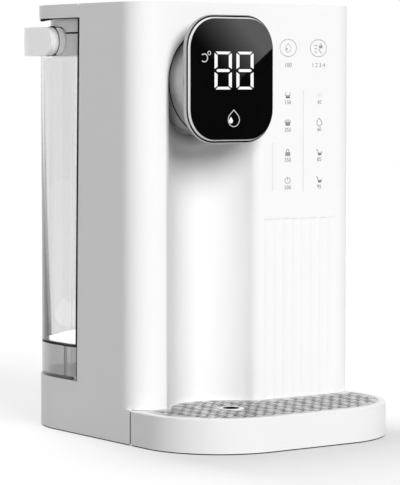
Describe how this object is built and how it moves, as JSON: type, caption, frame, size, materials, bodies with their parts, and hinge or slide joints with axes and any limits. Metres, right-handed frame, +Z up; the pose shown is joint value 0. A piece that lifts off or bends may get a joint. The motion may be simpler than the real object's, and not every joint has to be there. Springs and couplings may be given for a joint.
{
  "type": "instant hot water dispenser",
  "caption": "Upright instant hot water dispenser with a cup recess, round head with a display, touch panel, drip tray and a lift-off clear water tank behind.",
  "frame": {"origin": "on the floor, under the middle of the whole machine, tray and handle included", "axes": "+Z up, the display and the tray face -Y, the tank and its handle are at +Y, +X is the side of the touch panel"},
  "size_m": [0.2014, 0.268, 0.319],
  "materials": {
    "shell_white": "white moulded casing with a fine satin grain",
    "tray_white": "white moulded drip tray, satin",
    "handle_white": "white moulded bail handle",
    "inner_grey": "plain moulded inner plastic",
    "clear_tank": "clear moulded tank",
    "smoked_tank": "smoked clear plastic foot of the tank",
    "black_rubber": "black silicone seal",
    "grey_rubber": "grey rubber foot or mount",
    "hose_silicone": "milky silicone hose",
    "silver_trim": "silver frame of the display",
    "ring_white": "bright white ring round the display's glass",
    "display_black": "black gloss display window",
    "led_white": "lit digits",
    "circuit_green": "circuit board",
    "component_black": "electronic components",
    "grille_steel": "brushed stainless grille",
    "steel": "stainless steel",
    "spring_steel": "bright spring wire"
  },
  "bodies": {
    "body": {"outer_shell": "shell_white", "top_cover": "shell_white", "bulkhead": "shell_white", "bulkhead_screws": "steel", "base_pan": "inner_grey", "rubber_feet": "grey_rubber", "tank_deck": "shell_white", "base_screws": "steel", "valve_socket": "inner_grey", "socket_pin": "inner_grey", "socket_seal": "black_rubber", "head_neck": "shell_white", "display_bezel": "silver_trim", "display_ring": "ring_white", "display_glass": "display_black", "light_frame": "inner_grey", "display_board": "circuit_green", "led_digits": "led_white", "spout_nozzle": "steel", "spout_seal": "black_rubber", "pump_mounts": "grey_rubber", "pump_bracket": "steel", "pump_body": "inner_grey", "pump_cover": "inner_grey", "pump_motor": "steel", "heater_tube": "steel", "heater_caps": "inner_grey", "heater_brackets": "inner_grey", "thermostats": "component_black", "temperature_sensor": "steel", "inlet_hose": "hose_silicone", "pump_hose": "hose_silicone", "outlet_hose": "hose_silicone", "touch_board": "circuit_green", "touch_pads": "grey_rubber", "power_board": "circuit_green", "board_parts": "component_black", "cord_gland": "component_black"},
    "tank": {"clear_tank": "clear_tank", "tank_gasket": "black_rubber", "tank_insert": "shell_white", "tank_base": "smoked_tank", "tank_collar": "shell_white", "lid_pins": "steel", "handle_pins": "handle_white", "valve_body": "inner_grey", "valve_cap": "inner_grey", "valve_spring": "spring_steel"},
    "lid": {"tank_lid": "shell_white", "lid_liner": "shell_white", "lid_seal": "black_rubber"},
    "handle": {"handle": "handle_white"},
    "valve_poppet": {"valve_poppet": "inner_grey"},
    "tray": {"drip_tray": "tray_white", "tray_feet": "grey_rubber"},
    "grille": {"drip_grille": "grille_steel", "grille_ring": "ring_white"},
    "pump_rotor": {"pump_rotor": "inner_grey"}
  },
  "joints": [
    {"name": "tank_lift", "type": "slide", "parent": "body", "child": "tank", "axis": [0, 0, 1], "range_m": [0, 0.29]},
    {"name": "lid_hinge", "type": "hinge", "parent": "tank", "child": "lid", "pos_m": [0, 0.01995, 0.316], "axis": [1, 0, 0], "range_deg": [0, 95]},
    {"name": "handle_pivot", "type": "hinge", "parent": "tank", "child": "handle", "pos_m": [0, 0.0662, 0.2921], "axis": [1, 0, 0], "range_deg": [0, 16]},
    {"name": "poppet_travel", "type": "slide", "parent": "tank", "child": "valve_poppet", "axis": [0, 0, 1], "range_m": [0, 0.003], "stiffness_N_per_m": 150, "springref_m": -0.002, "deforming": ["valve_spring"]},
    {"name": "tray_slide", "type": "slide", "parent": "body", "child": "tray", "axis": [0, -1, 0], "range_m": [0, 0.09]},
    {"name": "grille_lift", "type": "slide", "parent": "tray", "child": "grille", "axis": [0, 0, 1], "range_m": [0, 0.03]},
    {"name": "pump_spin", "type": "hinge", "parent": "body", "child": "pump_rotor", "pos_m": [0.04, -0.0205, 0.03], "axis": [0, 0, 1], "continuous": true}
  ]
}
